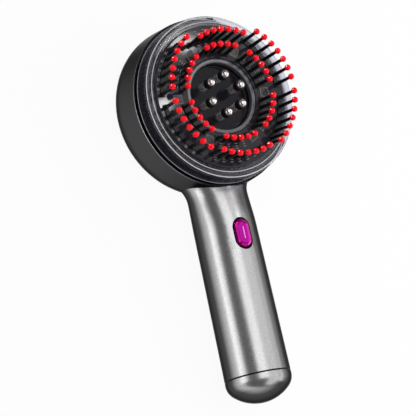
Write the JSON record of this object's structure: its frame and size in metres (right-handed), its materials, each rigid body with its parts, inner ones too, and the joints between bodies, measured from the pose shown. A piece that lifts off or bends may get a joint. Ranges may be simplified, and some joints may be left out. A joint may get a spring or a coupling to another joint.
{
  "type": "scalp massager",
  "caption": "Hand-held red-light scalp massager with a round bristle head, roller-ball applicator, push button and pull-off end cap.",
  "frame": {"origin": "on the head's axis at the flat back of the housing, which it lies on", "axes": "+Z the way the bristles point, handle along -Y, +X to the right seen from the bristle side"},
  "size_m": [0.0821, 0.1817, 0.0509],
  "materials": {
    "housing": "satin metallic gunmetal paint",
    "collar_black": "matt black",
    "clear": "clear, polished",
    "plate_dark": "dark, polished",
    "ring_grey": "grey, translucent",
    "bristle_black": "black, slightly soft",
    "tip_red": "glossy red",
    "ball_steel": "mirror polished steel",
    "gem_magenta": "translucent magenta, polished",
    "screw_steel": "zinc plated",
    "seal_rubber": "soft black",
    "board_green": "green solder mask",
    "led_red": "red lens",
    "motor_steel": "bright steel",
    "weight_brass": "turned",
    "tray_grey": "moulded grey",
    "cell_wrap": "blue sleeve",
    "tab_nickel": "nickel strip",
    "switch_black": "moulded black",
    "plug_white": "natural nylon",
    "wire_red": "wire sleeve"
  },
  "bodies": {
    "body": {"body_shell": "housing", "lock_collar": "collar_black", "collar_screws": "screw_steel", "window_gasket": "seal_rubber", "led_window": "clear", "led_board": "board_green", "red_leds": "led_red", "led_board_screws": "screw_steel", "motor_bracket": "motor_steel", "motor_can": "motor_steel", "motor_screws": "screw_steel", "motor_leads": "wire_red", "chassis": "tray_grey", "battery_cell": "cell_wrap", "battery_tabs": "tab_nickel", "main_board": "board_green", "main_board_screws": "screw_steel", "switch_housing": "switch_black", "harness_plugs": "plug_white", "harness_wires": "wire_red", "port_carrier": "collar_black", "charging_port": "tab_nickel", "port_board": "board_green", "carrier_screws": "screw_steel", "port_seal": "seal_rubber"},
    "brush_head": {"clear_cover": "clear", "bristle_plate": "plate_dark", "inner_combs": "bristle_black", "outer_combs": "bristle_black", "inner_tips": "tip_red", "outer_tips": "tip_red", "light_guides": "clear", "applicator_dish": "plate_dark", "dish_ring": "ring_grey", "roller_tubes": "clear", "ball_seats": "bristle_black", "oil_tank": "clear", "tank_gasket": "seal_rubber", "filler_plug": "seal_rubber"},
    "ball_1": {"roller_ball_1": "ball_steel"},
    "ball_2": {"roller_ball_2": "ball_steel"},
    "ball_3": {"roller_ball_3": "ball_steel"},
    "ball_4": {"roller_ball_4": "ball_steel"},
    "ball_5": {"roller_ball_5": "ball_steel"},
    "ball_6": {"roller_ball_6": "ball_steel"},
    "button": {"power_button": "gem_magenta", "switch_stem": "switch_black"},
    "motor_rotor": {"motor_shaft": "motor_steel", "eccentric_weight": "weight_brass"},
    "cap": {"end_cap": "housing"}
  },
  "joints": [
    {"name": "brush_twist", "type": "hinge", "parent": "body", "child": "brush_head", "pos_m": [0, 0, 0.0293], "axis": [0, 0, 1], "range_deg": [0, 25]},
    {"name": "ball_1_roll", "type": "hinge", "parent": "brush_head", "child": "ball_1", "pos_m": [0.00834, 0.00337, 0.0423], "axis": [1, 0, 0], "continuous": true},
    {"name": "ball_2_roll", "type": "hinge", "parent": "brush_head", "child": "ball_2", "pos_m": [0.00125, 0.00891, 0.0423], "axis": [1, 0, 0], "continuous": true},
    {"name": "ball_3_roll", "type": "hinge", "parent": "brush_head", "child": "ball_3", "pos_m": [-0.00709, 0.00554, 0.0423], "axis": [1, 0, 0], "continuous": true},
    {"name": "ball_4_roll", "type": "hinge", "parent": "brush_head", "child": "ball_4", "pos_m": [-0.00834, -0.00337, 0.0423], "axis": [1, 0, 0], "continuous": true},
    {"name": "ball_5_roll", "type": "hinge", "parent": "brush_head", "child": "ball_5", "pos_m": [-0.00125, -0.00891, 0.0423], "axis": [1, 0, 0], "continuous": true},
    {"name": "ball_6_roll", "type": "hinge", "parent": "brush_head", "child": "ball_6", "pos_m": [0.00709, -0.00554, 0.0423], "axis": [1, 0, 0], "continuous": true},
    {"name": "button_press", "type": "slide", "parent": "body", "child": "button", "axis": [0, 0, -1], "range_m": [0, 0.0005], "stiffness_N_per_m": 800, "springref_m": -0.0003},
    {"name": "rotor_spin", "type": "hinge", "parent": "body", "child": "motor_rotor", "pos_m": [0.008, 0, 0.0096], "axis": [1, 0, 0], "continuous": true},
    {"name": "cap_pull", "type": "slide", "parent": "body", "child": "cap", "axis": [0, -1, 0], "range_m": [0, 0.02]}
  ]
}
